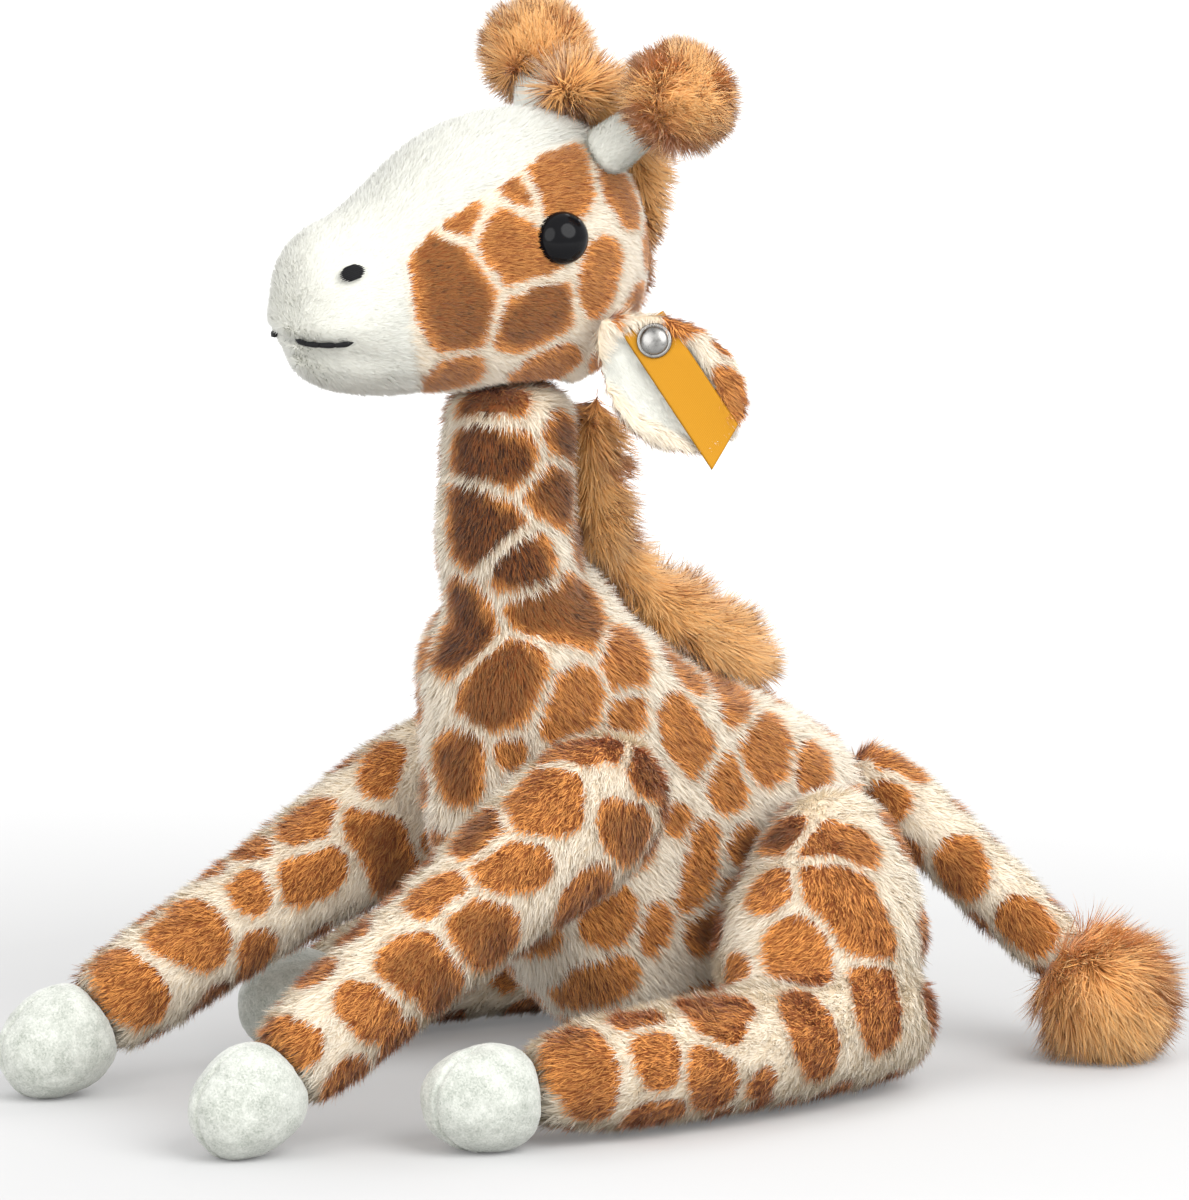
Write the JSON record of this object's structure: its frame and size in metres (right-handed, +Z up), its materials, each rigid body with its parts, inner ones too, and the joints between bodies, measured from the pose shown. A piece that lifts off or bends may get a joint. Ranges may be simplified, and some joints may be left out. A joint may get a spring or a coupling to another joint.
{
  "type": "plush giraffe",
  "caption": "Seated plush giraffe with spotted pile, floppy legs, bending neck, turning head, lop ears with a blank ribbon tag, tufted horns and a tufted tail",
  "frame": {"origin": "bottom centre of the bounding box, on the floor that the toy sits on", "axes": "the toy faces -Y, its left side is +X, +Z is up"},
  "size_m": [0.1778, 0.2886, 0.275],
  "materials": {
    "spotted_plush": "short plush pile, caramel patches with darker middles on a cream ground",
    "cream_plush": "short off-white plush pile",
    "rust_long_pile": "long orange-brown pile in clumps",
    "hoof_suede": "pale grey-white mottled suede cloth",
    "yellow_ribbon": "woven satin ribbon",
    "eye_gloss": "polished black",
    "washer_plastic": "moulded",
    "black_thread": "embroidery thread",
    "plated_metal": "plated, polished",
    "pellet_bag_cloth": "woven cotton"
  },
  "bodies": {
    "torso": {"torso": "spotted_plush", "withers_mane": "rust_long_pile", "pellet_bag": "pellet_bag_cloth"},
    "neck": {"neck": "spotted_plush", "neck_mane": "rust_long_pile"},
    "head": {"head": "spotted_plush", "muzzle": "cream_plush", "crest": "rust_long_pile", "left_eye": "eye_gloss", "left_eye_washer": "washer_plastic", "left_nostril": "black_thread", "left_mouth_stitch": "black_thread", "left_horn": "cream_plush", "left_horn_tuft": "rust_long_pile", "right_eye": "eye_gloss", "right_eye_washer": "washer_plastic", "right_nostril": "black_thread", "right_mouth_stitch": "black_thread", "right_horn": "cream_plush", "right_horn_tuft": "rust_long_pile"},
    "left_ear": {"left_ear": "spotted_plush", "left_ear_lining": "cream_plush", "ear_stud": "plated_metal", "ear_stud_back": "plated_metal"},
    "right_ear": {"right_ear": "spotted_plush", "right_ear_lining": "cream_plush"},
    "ear_tag": {"ear_tag": "yellow_ribbon"},
    "left_front_leg": {"left_front_leg": "spotted_plush", "left_front_hoof": "hoof_suede"},
    "right_front_leg": {"right_front_leg": "spotted_plush", "right_front_hoof": "hoof_suede"},
    "left_thigh": {"left_haunch": "spotted_plush"},
    "right_thigh": {"right_haunch": "spotted_plush"},
    "left_lower_leg": {"left_hind_leg": "spotted_plush", "left_hind_hoof": "hoof_suede"},
    "right_lower_leg": {"right_hind_leg": "spotted_plush", "right_hind_hoof": "hoof_suede"},
    "tail": {"tail": "spotted_plush", "tail_tuft": "rust_long_pile"}
  },
  "joints": [
    {"name": "neck_lean", "type": "hinge", "parent": "torso", "child": "neck", "pos_m": [-0.00139, -0.01284, 0.112], "axis": [1, 0, 0], "range_deg": [-8, 15], "stiffness_Nm_per_rad": 0.45, "springref_deg": -1.72},
    {"name": "head_turn", "type": "hinge", "parent": "neck", "child": "head", "pos_m": [-0.00139, -0.02084, 0.178], "axis": [0, 0, 1], "range_deg": [-30, 30], "stiffness_Nm_per_rad": 0.05},
    {"name": "left_shoulder", "type": "hinge", "parent": "torso", "child": "left_front_leg", "pos_m": [0.03666, -0.01474, 0.079], "axis": [-1, 0, 0], "range_deg": [0, 45]},
    {"name": "right_shoulder", "type": "hinge", "parent": "torso", "child": "right_front_leg", "pos_m": [-0.03944, -0.01474, 0.072], "axis": [-1, 0, 0], "range_deg": [0, 45]},
    {"name": "left_hip", "type": "hinge", "parent": "torso", "child": "left_thigh", "pos_m": [0.04371, 0.05516, 0.048], "axis": [1, 0, 0], "range_deg": [0, 60]},
    {"name": "right_hip", "type": "hinge", "parent": "torso", "child": "right_thigh", "pos_m": [-0.04649, 0.05516, 0.048], "axis": [1, 0, 0], "range_deg": [0, 60]},
    {"name": "left_knee", "type": "hinge", "parent": "left_thigh", "child": "left_lower_leg", "pos_m": [0.05471, 0.05816, 0.0195], "axis": [1, 0, 0], "range_deg": [0, 40]},
    {"name": "right_knee", "type": "hinge", "parent": "right_thigh", "child": "right_lower_leg", "pos_m": [-0.05749, 0.05816, 0.0195], "axis": [1, 0, 0], "range_deg": [0, 40]},
    {"name": "tail_swing", "type": "hinge", "parent": "torso", "child": "tail", "pos_m": [-0.00139, 0.09162, 0.069], "axis": [1, 0, 0], "range_deg": [0, 50]},
    {"name": "left_ear_lift", "type": "hinge", "parent": "head", "child": "left_ear", "pos_m": [0.02423, -0.00958, 0.20319], "axis": [0, -1, 0], "range_deg": [0, 45]},
    {"name": "right_ear_lift", "type": "hinge", "parent": "head", "child": "right_ear", "pos_m": [-0.027, -0.00958, 0.20319], "axis": [0, 1, 0], "range_deg": [0, 45]},
    {"name": "tag_swing", "type": "hinge", "parent": "left_ear", "child": "ear_tag", "pos_m": [0.03746, 0.00017, 0.19693], "axis": [0.7709, -0.5812, 0.2607], "range_deg": [-12, 12]}
  ]
}
